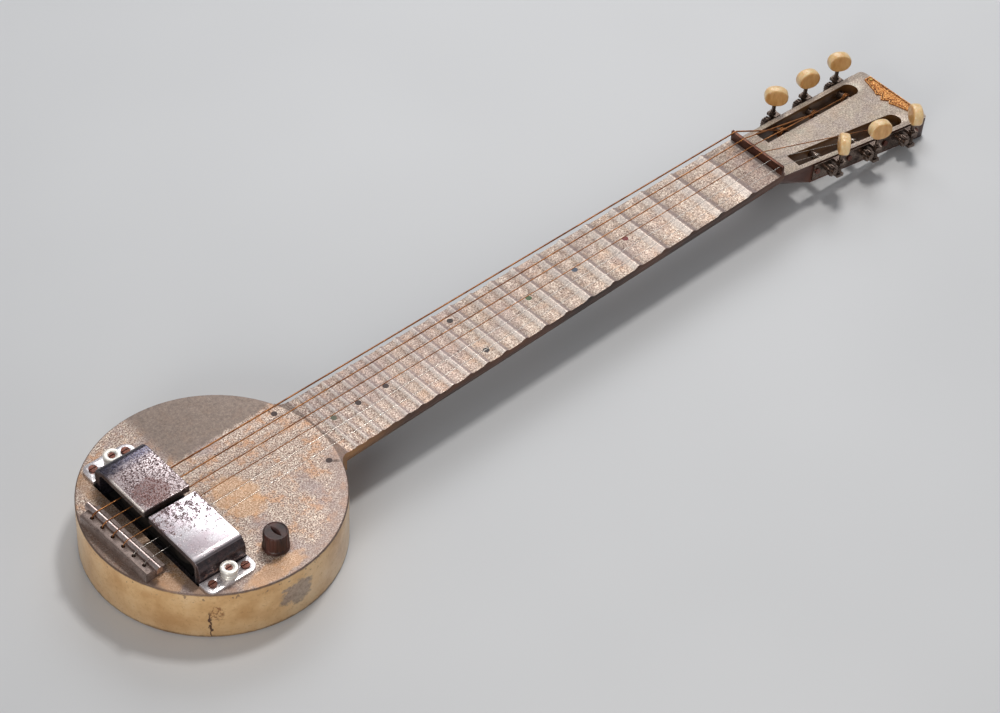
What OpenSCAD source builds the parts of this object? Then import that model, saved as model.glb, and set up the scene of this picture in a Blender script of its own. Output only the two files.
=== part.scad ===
// Round-pan electric lap steel guitar, built from its separate pieces.
// Millimetres. The origin is the centre of the pan's flat back, +X points towards the head,
// +Y towards the bass strings and +Z up through the strings.
// The instrument lies on its back: the pan and the tip of the head touch the ground at z = 0.

/* [Pan] */
// Diameter of the round pan
pan_d = 177.8; // [170:0.1:190]
// Height of the pan from its back to its top
pan_h = 41; // [39:0.5:45]
// Thickness of the pan's side wall
wall_t = 4; // [3:0.5:5]
// Thickness of the pan's top
top_t = 4; // [3:0.5:5]
// Thickness of the round cover in the back
cover_t = 2.5; // [2:0.5:3]
// Number of screws that hold the back cover
cover_screws = 6; // [4:1:8]

/* [Neck] */
// Sounding length of the strings, from the nut to the saddle
scale_len = 571.5; // [565:0.5:578]
// Distance from the pan's centre to the nut
nut_x = 500; // [495:1:505]
// Width of the neck at the nut
neck_w_nut = 51.2; // [50:0.1:53]
// Width of the neck where it meets the pan
neck_w_pan = 61; // [58:0.5:64]
// Depth of the neck from its top to its back
neck_d = 21.5; // [20:0.5:24]
// Height of the flat side under the edge of the playing surface
neck_side = 5; // [3:0.5:7]
// Number of frets cast into the neck
fret_count = 22; // [18:1:22]
// Depth of the widest valleys between the frets
valley_d = 1.6; // [1:0.1:2]

/* [Head] */
// Angle at which the head leans back
head_tilt = 8; // [6:0.5:8.5]
// Length of the head along its face
head_len = 139.4; // [136:0.2:142]
// Width of the head at the nut
head_w_nut = 50.4; // [49:0.2:52]
// Width of the head at its end
head_w_end = 67.6; // [66:0.2:70]
// Drop from the neck's top to the start of the head's face
head_drop = 5; // [4:0.5:6]
// Width of each string slot
slot_w = 13.1; // [12:0.1:14]
// Thickness of the wall between a slot and the side of the head
slot_wall = 3.7; // [3:0.1:4.5]

/* [Tuners] */
// Distance between neighbouring string posts
post_pitch = 35.9; // [35:0.1:36.5]
// Distance of the first post along the side of the head
post_first = 40.4; // [40:0.1:41]
// Depth of the post's axis below the head's face
post_depth = 7; // [6.5:0.5:7.5]
// Radius of the string posts
post_r = 3; // [2.5:0.1:3.2]
// Number of teeth on each worm gear
gear_teeth = 14; // [14:1:14]
// Pitch radius of the worm gears
gear_pitch_r = 4.2; // [4.2:0.1:4.2]
// Width, height and thickness of the oval buttons
button_size = [17.5, 14.5, 8]; // [6:0.5:20]
// Height of the middle of the buttons above the head's face
button_rise = 14; // [13.5:0.1:16]

/* [Strings] */
// Diameters of the strings, from the first to the sixth
string_d = [0.36, 0.46, 0.66, 0.8, 0.95, 1.15]; // [0.2:0.01:1.2]
// Distance between neighbouring strings at the nut
spacing_nut = 9.4; // [9:0.1:9.6]
// Distance between neighbouring strings at the saddle
spacing_saddle = 10.7; // [10:0.1:11]
// Height of the strings above the pan's top at the nut
string_h_nut = 5.8; // [5:0.1:6.5]
// Height of the strings above the pan's top at the saddle
string_h_saddle = 11; // [10.5:0.1:11.2]
// Number of turns of each string round its post
string_turns = 3; // [2:1:4]

/* [Pickup] */
// Width of the horseshoe magnets along the strings
magnet_w = 37.2; // [36:0.1:38]
// Thickness of the magnets
magnet_t = 5.5; // [5:0.1:5.8]
// Distance between the outer faces of the two magnets
magnet_span = 112.4; // [110:0.1:112.4]
// Shift of the magnets and their studs towards the treble side
magnet_shift = 1.7; // [0:0.1:1.7]
// Height of the magnets above the pan's top
magnet_rise = 18.3; // [18:0.1:19]
// Gap between the two magnets
magnet_gap = 5.4; // [4:0.1:6]
// Place of the pickup's middle along the strings
pickup_x = -36; // [-37:0.5:-35]
// Turn of the pickup about its middle, which brings its treble end nearer the bridge
pickup_skew = -2; // [-3:0.5:0]
// Half the distance between the two height-adjusting studs
stud_y = 62.7; // [62:0.1:63.5]

/* [Bridge and knob] */
// Length of the saddle bar across the strings
saddle_len = 74; // [70:0.5:76]
// Height of the shelf that the strings come out of
shelf_h = 8; // [7:0.5:8]
// Place of the knob
knob_at = [1, -63.5]; // [-66:0.5:4]
// Diameter of the knob
knob_d = 18.4; // [17:0.2:20]
// Height of the knob
knob_h = 15; // [13:0.5:16]
// Direction of the output jack in the pan's side, from +X towards +Y
jack_turn = 76; // [60:1:85]

/* [Hidden] */
$fn = 64;
eps = 0.01;
running_gap = 0.05;

// Pan
pan_r = pan_d / 2;
cavity_r = pan_r - wall_t;
cavity_top = pan_h - top_t;
cover_gap = 0.5;
boss_r = 4;
boss_h = 14;
boss_ring_r = cavity_r - boss_r + 0.6;
cover_screw_r = 1.5;

// Neck
neck_root_x = 60;
neck_end_x = nut_x + 1;
slice_t = 0.1;
nut_t = 2.2;
nut_sink = 3;
nut_top = string_h_nut + 0.4;
fillet_r = 8;
dot_r = 2.25;
dot_t = 0.5;
full_valley_room = 20;

// Head: the face starts below the nut and leans back; its end just touches the ground
head_x = nut_x + 6;
head_z = pan_h - head_drop;
head_back = 6;
face_t = 4;
root_s = 24;
root_inset = 0.1;
head_t = (head_z - head_len * sin(head_tilt)) / cos(head_tilt);
head_flare = atan((head_w_end - head_w_nut) / 2 / head_len);
side_y = head_w_nut / 2 * cos(head_flare);
corner_r = 4;
corner_steps = 6;
slot_y = side_y - slot_wall - slot_w / 2;
slot_from = 22;
slot_to = 121;
badge_t = 1;

// Tuners
plate_t = 1.2;
worm_pitch = 2 * PI * gear_pitch_r / gear_teeth;
worm_mean_r = 1.9;
worm_throw = 0.45;
worm_turns = 4;
worm_len = worm_turns * worm_pitch;
worm_offset = gear_pitch_r + worm_mean_r + 0.2;
worm_y = side_y + 6.2;
worm_shaft_r = 1.5;
gear_t = 3;
ear_gap = 0.25;
ear_t = 2.4;
// Turn of each button about its shaft, from the first string's to the sixth's
button_turns = [50, -15, 60, -30, -20, -45];

// Strings
saddle_x = nut_x - scale_len;
saddle_z = pan_h + string_h_saddle;
nut_z = pan_h + string_h_nut;
saddle_w = 4.6;
saddle_mid_x = saddle_x - 0.8;
anchor_x = saddle_x - 5.2;
anchor_hole_r = 1.5;
ball_r = 2.4;
ball_h = 4;
ball_hole_r = 2.9;
saddle_sink = 1.6;
block_x = [saddle_x - 9.7, saddle_x + 5.8];
block_len = saddle_len - 6;
bridge_screw_r = 2;

// Pickup
stud_r = 2.5;
stud_gap = 0.4;
bracket_t = 2;
bracket_end = 70.5;
bracket_w = 39;
bracket_screw_at = [13, 64.3];
bracket_screw_r = 1.5;
window_w = 40.5;
window_half = magnet_span / 2 + 0.5;
carrier_t = 2;
magnet_bottom = pan_h - 11;
magnet_bend_r = 9;
carrier_z = magnet_bottom - carrier_t;
bobbin_bottom = magnet_bottom + magnet_t;
bobbin_top = pan_h + 8.5;
pole_r = 2.4;
pole_proud = 0.3;
core_w = 12;
core_half = 33;
flange_t = 2;
flange_half = 45;
nut_height = 8;

// Knob and controls
shaft_r = 3;
bush_r = 4.6;
knob_gap = 0.6;
flutes = 18;
knob_dish = 0.4;
groove_r = 8;
groove_deep = 2.1;
jack_z = 20;
jack_bore_r = 3.25;
jack_depth = 25;

// Distance of fret n from the pan's centre, by equal temperament
function fret_x(n) = nut_x - scale_len * (1 - pow(2, -n / 12));

// Half the width of the neck at x
function neck_half(x) =
    (neck_w_nut + (neck_w_pan - neck_w_nut) * (nut_x - x) / (nut_x - pan_r)) / 2;

// Place across the strings of string i, where neighbours are a given spacing apart
function string_y(i, spacing) = (i - 3.5) * spacing;

// Strings 1 to 3 go to the treble side of the head, strings 4 to 6 to the bass side
function side_of(i) = i <= 3 ? -1 : 1;

// Distance of string i's post along the side of the head
function post_s(i) = post_first + post_pitch * (i <= 3 ? i - 1 : 6 - i);

// A point given along, out from and above one side of the head, in the instrument's own frame
function from_side(side, p) =
    let (a = side * head_flare)
    let (q = [p.x * cos(a) - p.y * sin(a), p.x * sin(a) + p.y * cos(a), p.z])
    [head_x + q.x * cos(head_tilt) + q.z * sin(head_tilt), q.y,
     head_z - q.x * sin(head_tilt) + q.z * cos(head_tilt)];

function unit(v) = v / norm(v);

// Places children given in the head's own frame: x along the face, z out of the face
module in_head() translate([head_x, 0, head_z]) rotate([0, head_tilt, 0]) children();

// Places children given along one side of the head
module in_side(side) in_head() rotate([0, 0, side * head_flare]) children();

// Places children given in the pickup's own frame, whose x = 0 is its middle
module in_pickup() translate([pickup_x, 0, 0]) rotate([0, 0, pickup_skew]) children();

// A cylinder that runs outwards from y on one side of the head
module cross_pin(side, y, length, r) translate([0, side * y, 0])
    rotate([-90 * side, 0, 0]) cylinder(r = r, h = length);

// A cylinder from z0 to z1
module post(r, z0, z1) translate([0, 0, z0]) cylinder(r = r, h = z1 - z0);

// A round tube of radius r swept along a list of points; across is a direction the path never takes
module swept_tube(path, r, sides, across = [0, 1, 0]) {
    last = len(path) - 1;
    rings = [for (i = [0:last])
        let (t = unit(path[min(i + 1, last)] - path[max(i - 1, 0)]))
        let (u = unit(cross(t, across)))
        let (v = cross(t, u))
        [for (k = [0:sides - 1]) path[i] + r * (u * cos(360 * k / sides) + v * sin(360 * k / sides))]];
    sleeve = [for (i = [0:last - 1], k = [0:sides - 1])
        let (a = i * sides, b = (i + 1) * sides, next = (k + 1) % sides)
        [a + k, b + k, b + next, a + next]];
    first_cap = [[for (k = [0:sides - 1]) k]];
    last_cap = [[for (k = [sides - 1:-1:0]) last * sides + k]];
    polyhedron(points = [for (ring = rings) each ring], faces = concat(sleeve, first_cap, last_cap));
}

// ---- Pan, neck and head ----

module pan_outside() rotate_extrude($fn = 180)
    polygon([[0, 0], [pan_r - 1, 0], [pan_r, 1], [pan_r, pan_h - 0.8], [pan_r - 0.8, pan_h], [0, pan_h]]);

module cover_screw_places() for (k = [0:cover_screws - 1])
    rotate([0, 0, 30 + 360 / cover_screws * k]) translate([boss_ring_r, 0, 0]) children();

module pan_cavity() difference() {
    translate([0, 0, -1]) cylinder(r = cavity_r, h = cavity_top + 1, $fn = 180);
    cover_screw_places() post(boss_r, cover_t, cover_t + boss_h);
}

// A thin slice of the neck at x
module neck_section(x) translate([x, 0, pan_h]) rotate([90, 0, 90]) linear_extrude(slice_t)
    polygon([
        [neck_half(x), 0],
        for (a = [0:15:180]) [neck_half(x) * cos(a), -neck_side - (neck_d - neck_side) * sin(a)],
        [-neck_half(x), 0]
    ]);

module neck() hull() {
    neck_section(neck_root_x);
    neck_section(neck_end_x);
}

// The rounded inside corner between the neck and the pan
module neck_fillet(side) {
    edge = neck_half(pan_r);
    mid_y = edge + fillet_r;
    mid_x = sqrt(pow(pan_r + fillet_r, 2) - pow(mid_y, 2));
    touch = [mid_x, mid_y] * pan_r / (pan_r + fillet_r);
    scale([1, side, 1]) translate([0, 0, pan_h - 16]) linear_extrude(16) difference() {
        polygon([[neck_root_x + 5, edge - 4], touch - [2, 1], touch, [mid_x, mid_y], [mid_x, edge - 4]]);
        translate([mid_x, mid_y]) circle(fillet_r);
    }
}

// Depth of the valley in front of fret n, which is shallower where the frets are close together
function valley_depth(n) = valley_d * min(1, (fret_x(n - 1) - fret_x(n)) / full_valley_room);

// The valley between frets n - 1 and n, with sloping ends, cut right across the neck
module valley(n) {
    room = fret_x(n - 1) - fret_x(n);
    deep = valley_depth(n);
    crest = min(1.1, 0.08 * room);
    slope = min(2.6, 0.18 * room);
    low = fret_x(n) + crest;
    high = n == 1 ? nut_x - nut_t : fret_x(n - 1) - crest;
    high_slope = n == 1 ? 0 : slope;
    translate([0, 50, pan_h]) rotate([90, 0, 0]) linear_extrude(100)
        polygon([
            [low, 0], [low + slope, -deep], [high - high_slope, -deep], [high, 0], [high, 1], [low, 1]
        ]);
}

// Middles of the position dots: single ones between some frets, pairs at the octave and past the last
function dot_x(fret) = (fret_x(fret) + fret_x(fret - 1)) / 2;
dots = [
    for (f = [5, 7, 9, 17, 19, 21]) [dot_x(f), 0, pan_h - valley_depth(f)],
    for (s = [-1, 1]) [dot_x(12), 18.5 * s, pan_h - valley_depth(12)],
    for (s = [-1, 1]) [dot_x(24), 28 * s, pan_h]
];

// Half the width of the head at a distance along its face
function head_half(s) = head_w_nut / 2 + s * tan(head_flare);

// The head seen from above, whose round corners meet its sides without a step
module head_outline() {
    middle = [head_len - corner_r, head_half(head_len - corner_r) - corner_r / cos(head_flare)];
    corner = [for (k = [0:corner_steps])
        let (a = (90 + head_flare) * k / corner_steps)
        middle + corner_r * [cos(a), sin(a)]];
    polygon([
        [-head_back, -head_half(-head_back)],
        for (k = [corner_steps:-1:0]) [corner[k].x, -corner[k].y],
        each corner,
        [-head_back, head_half(-head_back)]
    ]);
}

// The wedge under the start of the head, where the neck's round back turns into the head's flat one
module head_root() {
    half = head_half(-head_back) - root_inset;
    deep = neck_d - neck_side - root_inset;
    end_half = head_half(root_s) - root_inset;
    hull() {
        translate([nut_x, 0, pan_h - neck_side]) rotate([90, 0, 90]) linear_extrude(slice_t)
            polygon([for (a = [0:15:180]) [half * cos(a), -deep * sin(a)]]);
        in_head() translate([root_s + 0.5, -end_half, root_inset - head_t])
            cube([slice_t, 2 * end_half, head_t - face_t / 2]);
    }
}

// The head at full depth from root_s on, and only its face before that
module head() in_head() translate([0, 0, -head_t]) difference() {
    linear_extrude(head_t) head_outline();
    translate([-head_back - 1, -head_w_end, -1])
        cube([root_s + head_back + 1, 2 * head_w_end, head_t - face_t + 1]);
}

module head_slots() for (side = [-1, 1]) in_side(side) translate([0, side * slot_y, 0]) {
    translate([slot_from, -slot_w / 2, -head_t - 5])
        cube([slot_to - slot_w / 2 - slot_from, slot_w, head_t + 10]);
    translate([slot_to - slot_w / 2, 0, 0]) post(slot_w / 2, -head_t - 5, 5);
    translate([0, slot_w / 2, 0]) rotate([90, 0, 0]) linear_extrude(slot_w)
        polygon([[slot_from - 7, eps], [slot_from + eps, -8], [slot_from + eps, eps]]);
}

module tuner_holes() for (i = [1:6]) in_side(side_of(i)) translate([post_s(i), 0, -post_depth])
    cross_pin(side_of(i), slot_y - slot_w / 2 - 5, slot_w + slot_wall + 15, post_r + running_gap);

// Middles of the screws of one tuner plate along the side of the head
plate_screw_s = [post_first - 10.5, post_first + post_pitch / 2 + 3, post_first + 1.5 * post_pitch + 3,
    post_first + 2 * post_pitch + 16];
plate_screw_r = 1.25;

module tuner_screw_holes() for (side = [-1, 1], s = plate_screw_s) in_side(side)
    translate([s, 0, -post_depth]) cross_pin(side, side_y - 3, 6, plate_screw_r);

module badge_pin_places() for (side = [-1, 1]) translate([head_len - 4, 21 * side, 0]) children();

// A round hole through the pan's top
module through_top(r) post(r, cavity_top - 1, pan_h + 1);

module body_casting() color([0.78, 0.74, 0.70]) difference() {
    union() {
        pan_outside();
        neck();
        neck_fillet(1);
        neck_fillet(-1);
        head_root();
        head();
    }
    pan_cavity();
    cover_screw_places() post(cover_screw_r, 0, cover_t + 10);
    in_pickup() {
        translate([-window_w / 2, -window_half - magnet_shift, cavity_top - 1])
            cube([window_w, 2 * window_half, top_t + 2]);
        stud_places() through_top(stud_r + stud_gap);
        bracket_screw_places() through_top(bracket_screw_r);
    }
    for (i = [1:6]) translate([anchor_x, string_y(i, spacing_saddle), 0]) through_top(ball_hole_r);
    bridge_screw_places() through_top(bridge_screw_r);
    translate(knob_at) through_top(bush_r);
    in_jack() post(bush_r, -wall_t - 5, 5);
    for (n = [1:fret_count]) valley(n);
    translate([nut_x - nut_t, -40, pan_h - nut_sink]) cube([nut_t, 80, nut_sink + 1]);
    for (d = dots) translate(d) post(dot_r, -dot_t, 1);
    head_slots();
    tuner_holes();
    tuner_screw_holes();
    in_head() badge_pin_places() post(0.8, -4, 1);
}

module back_cover() color([0.72, 0.71, 0.69]) difference() {
    cylinder(r = cavity_r - cover_gap, h = cover_t, $fn = 180);
    cover_screw_places() {
        post(cover_screw_r, -1, cover_t + 1);
        post(3, -1, 1.5);
    }
}

module back_cover_screws() color([0.6, 0.6, 0.6]) cover_screw_places() difference() {
    union() {
        post(2.9, 0.2, 1.5);
        post(cover_screw_r, 1.5, cover_t + 9);
    }
    translate([-3, -0.4, 0]) cube([6, 0.8, 0.8]);
}

module position_dots() color([0.3, 0.12, 0.1]) for (d = dots) translate(d) post(dot_r, -dot_t, 0);

// ---- Nut and bridge ----

module nut() color([0.35, 0.25, 0.2]) difference() {
    translate([nut_x - nut_t, -neck_w_nut / 2, pan_h - nut_sink])
        cube([nut_t, neck_w_nut, nut_sink + nut_top]);
    for (i = [1:6]) translate([nut_x - 5, string_y(i, spacing_nut), nut_z])
        rotate([0, 90, 0]) cylinder(r = string_d[i - 1] / 2 + 0.12, h = 10);
}

module bridge_screw_places() for (side = [-1, 1]) translate([saddle_x + 1.5, side * 16, 0]) children();

module bridge_block() color([0.75, 0.72, 0.7]) difference() {
    translate([0, block_len / 2, pan_h]) rotate([90, 0, 0]) linear_extrude(block_len) polygon([
        [block_x[0], 0], [block_x[0], shelf_h - 1], [block_x[0] + 1, shelf_h],
        [block_x[1] - 3.5, shelf_h], [block_x[1] - 2.5, shelf_h - 1.5], [block_x[1], shelf_h - 1.5],
        [block_x[1], 0]
    ]);
    translate([saddle_mid_x - saddle_w / 2, -saddle_len, pan_h + shelf_h - saddle_sink])
        cube([saddle_w, 2 * saddle_len, 5]);
    for (i = [1:6]) translate([anchor_x, string_y(i, spacing_saddle), pan_h]) {
        post(anchor_hole_r, -1, shelf_h + 1);
        post(ball_hole_r, -1, ball_h + 1);
    }
    bridge_screw_places() post(bridge_screw_r, pan_h - 1, pan_h + 5);
}

module bridge_screws() color([0.6, 0.6, 0.6]) bridge_screw_places() {
    post(bridge_screw_r, cavity_top, pan_h + 5);
    post(3.6, cavity_top - 2, cavity_top);
}

// A bar with a round top, let into the bridge block and notched for the strings
module saddle_bar() color([0.85, 0.8, 0.78]) difference() {
    foot = shelf_h - saddle_sink;
    crown = string_h_saddle + 0.2 - saddle_w / 2;
    translate([saddle_mid_x, saddle_len / 2, pan_h]) rotate([90, 0, 0]) linear_extrude(saddle_len) {
        translate([0, crown]) circle(saddle_w / 2);
        translate([-saddle_w / 2, foot]) square([saddle_w, crown - foot]);
    }
    for (i = [1:6]) translate([saddle_x - 10, string_y(i, spacing_saddle), saddle_z])
        rotate([0, 90, 0]) cylinder(r = string_d[i - 1] / 2 + 0.12, h = 20);
}

// ---- Strings ----

// The string's path from its ball end, over the saddle and the nut, and round its post
function string_path(i) =
    let (side = side_of(i), r = string_d[i - 1] / 2)
    let (yb = string_y(i, spacing_saddle), yn = string_y(i, spacing_nut))
    let (coil_r = post_r + r + 0.3, pitch = 2 * r + 0.15, mid_y = side * slot_y)
    let (exit = [nut_x + 0.6, yn, nut_z - 0.1])
    let (axis = from_side(side, [post_s(i), mid_y, -post_depth]))
    let (run = norm([axis.x - exit.x, axis.z - exit.z]))
    let (lean = atan2(exit.z - axis.z, axis.x - exit.x) - head_tilt - asin(coil_r / run))
    concat(
        [[anchor_x, yb, pan_h + ball_h + 0.9], [anchor_x, yb, pan_h + shelf_h],
         [anchor_x + 0.4, yb, pan_h + shelf_h + 1.2], [anchor_x + 1.4, yb, saddle_z - 0.6],
         [anchor_x + 2.8, yb, saddle_z], [saddle_x, yb, saddle_z], [nut_x - nut_t, yn, nut_z], exit],
        [for (k = [0:16 * string_turns]) from_side(side, [
            post_s(i) + coil_r * sin(lean + 22.5 * k),
            mid_y + pitch * (k / 16 - string_turns / 2),
            -post_depth + coil_r * cos(lean + 22.5 * k)])]
    );

module guitar_string(i) color(i <= 2 ? [0.85, 0.85, 0.85] : [0.62, 0.42, 0.25])
    swept_tube(string_path(i), string_d[i - 1] / 2, 6);

module string_ball_ends() color([0.8, 0.6, 0.3]) for (i = [1:6])
    translate([anchor_x, string_y(i, spacing_saddle), pan_h]) post(ball_r, 0.9, ball_h + 0.9);

// ---- Pickup ----

// The side view of a bar of full depth d whose far end at y = 0 has round corners of radius r
module round_ended(length, d, r) {
    translate([r, 0]) square([length - r, d]);
    translate([0, r]) square([r + eps, d - 2 * r]);
    translate([r, r]) circle(r);
    translate([r, d - r]) circle(r);
}

// A bar bent into a U that lies on its side, with its ends towards the strings' middle
module magnet(side) in_pickup() translate([-magnet_w / 2, -magnet_shift, magnet_bottom]) scale([1, side, 1])
    translate([0, magnet_span / 2, 0]) rotate([90, 0, 90]) linear_extrude(magnet_w) scale([-1, 1]) {
        tall = magnet_rise + pan_h - magnet_bottom;
        arm = (magnet_span - magnet_gap) / 2;
        difference() {
            round_ended(arm, tall, magnet_bend_r);
            translate([magnet_t, magnet_t])
                round_ended(arm, tall - 2 * magnet_t, magnet_bend_r - magnet_t);
        }
    }

module magnet_treble() color([0.93, 0.93, 0.95]) magnet(-1);
module magnet_bass() color([0.6, 0.5, 0.5]) magnet(1);

// A plate with round ends, 2 * half long and w wide
module long_oval(w, half, z0, z1) translate([0, 0, z0]) linear_extrude(z1 - z0) {
    translate([-w / 2, -half + w / 2]) square([w, 2 * half - w]);
    for (side = [-1, 1]) translate([0, side * (half - w / 2)]) circle(w / 2);
}

// Runs its children at each height-adjusting stud, in the pickup's frame
module stud_places() for (side = [-1, 1]) translate([0, side * stud_y - magnet_shift, 0]) children();

// The plate under the magnets, with a narrow tongue at each end that takes a stud
module pickup_carrier() color([0.7, 0.7, 0.7]) in_pickup() difference() {
    translate([0, 0, carrier_z]) union() {
        translate([-17, -magnet_span / 2 - magnet_shift, 0]) cube([34, magnet_span, carrier_t]);
        translate([-8, -stud_y - 4.5 - magnet_shift, 0]) cube([16, 2 * stud_y + 9, carrier_t]);
    }
    stud_places() post(stud_r, carrier_z - 1, carrier_z + carrier_t + 1);
    post(1.6, carrier_z - 1, carrier_z + carrier_t + 1);
}

module pickup_studs() color([0.8, 0.75, 0.7]) in_pickup() stud_places() difference() {
    post(stud_r, carrier_z, pan_h + bracket_t + nut_height - 0.4);
    translate([-3, -0.4, pan_h + bracket_t + nut_height - 1.6]) cube([6, 0.8, 2]);
}

module pole_places() for (i = [1:6]) translate([0, string_y(i, spacing_saddle - 0.1), 0]) children();

module coil_bobbin() color([0.08, 0.08, 0.08]) in_pickup() difference() {
    union() {
        long_oval(core_w, core_half, bobbin_bottom, bobbin_top);
        for (z = [bobbin_bottom, bobbin_top - flange_t])
            translate([-15, -flange_half, z]) cube([30, 2 * flange_half, flange_t]);
    }
    pole_places() post(pole_r, bobbin_bottom - 1, bobbin_top + 1);
}

module coil_winding() color([0.12, 0.09, 0.08]) in_pickup() difference() {
    long_oval(26, 43, bobbin_bottom + flange_t, bobbin_top - flange_t);
    long_oval(core_w, core_half, 0, 2 * pan_h);
}

module pole_pieces() color([0.5, 0.5, 0.5]) in_pickup() pole_places()
    post(pole_r, bobbin_bottom, bobbin_top + pole_proud);

// The outline of a bracket that reaches a given way out from its inner edge, with round outer corners
module bracket_outline(reach) {
    r = 6;
    translate([-bracket_w / 2, 0]) square([bracket_w, reach - r]);
    translate([-bracket_w / 2 + r, 0]) square([bracket_w - 2 * r, reach]);
    for (sx = [-1, 1]) translate([sx * (bracket_w / 2 - r), reach - r]) circle(r);
}

// Runs its children at each bracket screw, in the pickup's frame
module bracket_screw_places() for (sx = [-1, 1], side = [-1, 1])
    translate([sx * bracket_screw_at.x, side * bracket_screw_at.y, 0]) children();

module pickup_brackets() color([0.9, 0.9, 0.92]) in_pickup() difference() {
    for (side = [-1, 1]) scale([1, side, 1]) {
        inner = window_half - side * magnet_shift;
        translate([0, inner, pan_h]) linear_extrude(bracket_t) bracket_outline(bracket_end - inner);
    }
    stud_places() post(stud_r + stud_gap, pan_h - 1, pan_h + 5);
    bracket_screw_places() post(bracket_screw_r, pan_h - 1, pan_h + 5);
}

module bracket_screws() color([0.6, 0.5, 0.45]) in_pickup() bracket_screw_places()
    translate([0, 0, pan_h]) difference() {
        union() {
            post(bracket_screw_r, -top_t - 2, bracket_t);
            post(3.1, bracket_t, bracket_t + 1.2);
        }
        translate([-4, -0.4, bracket_t + 0.5]) cube([8, 0.8, 1]);
    }

// A spool-shaped nut with a flat ring on top, turned by the fingers
module thumb_nut(side) color([0.93, 0.92, 0.9]) in_pickup()
    translate([0, side * stud_y - magnet_shift, pan_h + bracket_t + running_gap]) rotate_extrude() polygon([
        [stud_r + running_gap, 0], [5, 0], [5.4, 0.5], [5.4, 1.8], [4.3, 2.6], [4.3, nut_height - 4],
        [5.6, nut_height - 3.2], [6, nut_height - 2.7], [6, nut_height - 0.5], [5.6, nut_height],
        [3.2, nut_height], [2.9, nut_height - 0.8], [stud_r + running_gap, nut_height - 0.8]
    ]);

module thumb_nut_treble() thumb_nut(-1);
module thumb_nut_bass() thumb_nut(1);

// ---- Controls ----

module in_knob() translate([knob_at.x, knob_at.y, pan_h]) children();

// A skirted knob with upright flutes, hollow underneath; its top is dished and has a pointed groove
module knob() color([0.32, 0.12, 0.1]) in_knob() difference() {
    union() {
        post(knob_d / 2, knob_gap, 3);
        translate([0, 0, 3]) linear_extrude(knob_h - 3) difference() {
            circle(knob_d / 2 - 0.5);
            for (k = [0:flutes - 1]) rotate(360 / flutes * k) translate([knob_d / 2 + 0.1, 0]) circle(0.9);
        }
    }
    post(7.6, 0, 5.6);
    post(shaft_r, 5, knob_h - 3);
    post(knob_d / 2 - 2, knob_h - knob_dish, knob_h + 1);
    translate([0, 0, knob_h - knob_dish + groove_r - groove_deep]) rotate([0, 90, 0]) rotate_extrude()
        polygon([[0, -0.85 * groove_r], [groove_r, 0], [0, 0.85 * groove_r]]);
    in_set_screw() cylinder(r = 1.5, h = 20);
}

module in_set_screw() translate([0, 0, 8.5]) rotate([0, 90, -50]) children();

module knob_set_screw() color([0.7, 0.6, 0.35]) in_knob() in_set_screw() post(1.5, shaft_r, shaft_r + 5);

module pot_shaft() color([0.75, 0.7, 0.6]) in_knob() post(shaft_r, -top_t - 8, knob_h - 3);

module pot_body() color([0.7, 0.7, 0.68]) in_knob() difference() {
    union() {
        post(12, -top_t - 10, -top_t);
        post(bush_r, -top_t - eps, 5);
        for (k = [-1:1]) translate([5 * k - 1.2, 11, -top_t - 4]) cube([2.4, 8, 1]);
    }
    post(shaft_r + running_gap, -top_t - 8.2, 6);
}

module pot_nut() color([0.8, 0.75, 0.6]) in_knob() difference() {
    union() {
        post(7.2, 0, 0.8);
        translate([0, 0, 0.8]) cylinder(r = 6.8, h = 2.4, $fn = 6);
    }
    post(bush_r, -1, 5);
}

module capacitor() color([0.75, 0.6, 0.35]) translate([20, -44, cavity_top - 5.5]) rotate([0, 90, 25])
    cylinder(r = 5, h = 22);

module in_jack() rotate([0, 0, jack_turn]) translate([pan_r, 0, jack_z]) rotate([0, 90, 0]) children();

module output_jack() color([0.75, 0.72, 0.68]) in_jack() difference() {
    union() {
        post(8, -wall_t - 24, -wall_t - 0.6);
        post(bush_r, -wall_t - 1, 3.4);
    }
    post(jack_bore_r, 3.4 - jack_depth, 4);
}

module jack_nut() color([0.85, 0.83, 0.8]) in_jack() difference() {
    union() {
        post(7.4, 0.1, 0.9);
        translate([0, 0, 0.9]) cylinder(r = 6.9, h = 2.2, $fn = 6);
    }
    post(bush_r, -1, 5);
}

// The leads inside the pan, each a list of points from one solder joint to the next
coil_path = [[pickup_x, 0, bobbin_bottom - 0.1], [pickup_x, 0, carrier_z - 1], [-33, -4, 24], [-20, -20, 21],
    [-8, -36, 25], [-4.4, -42, 31], [-4, -44, 33.3]];
lead_paths = [
    [[6.4, -44, 33], [9, -34, 28], [16, -10, 22], [18, 20, 20], [16, 45, 20], [15.5, 58.8, 20]],
    [[1.4, -44, 33], [3, -32, 26], [10, -8, 19], [11, 20, 17], [12, 44, 17], [13.4, 59.2, 17]],
    [[6.4, -43.9, 33.4], [12, -43.3, 33.2], [19.9, -44.05, 31.5]],
    [[40.1, -34.7, 31.5], [43, -33.2, 32.5], [44, -33, cavity_top - 0.1]]
];
lead_r = 0.8;

module lead_wires() color([0.2, 0.2, 0.2]) {
    for (k = [0:1]) swept_tube(lead_paths[k], lead_r, 8, [1, 0, 0]);
    for (k = [2:3]) swept_tube(lead_paths[k], lead_r / 2, 8, [0, 1, 0]);
}

module coil_lead() color([0.2, 0.2, 0.2]) swept_tube(coil_path, lead_r, 8, [1, 1, 0]);

// ---- Head furniture ----

// A plain ornament with a stepped, pointed inner edge
module badge_outline() {
    half_edge = [[-7.5, 24], [-11.5, 11], [-13.8, 6.5], [-11.2, 4.2]];
    polygon([
        [-0.8, -24.5], [-0.8, 24.5],
        for (p = half_edge) p,
        [-15.8, 0],
        for (k = [len(half_edge) - 1:-1:0]) [half_edge[k].x, -half_edge[k].y]
    ]);
}

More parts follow.
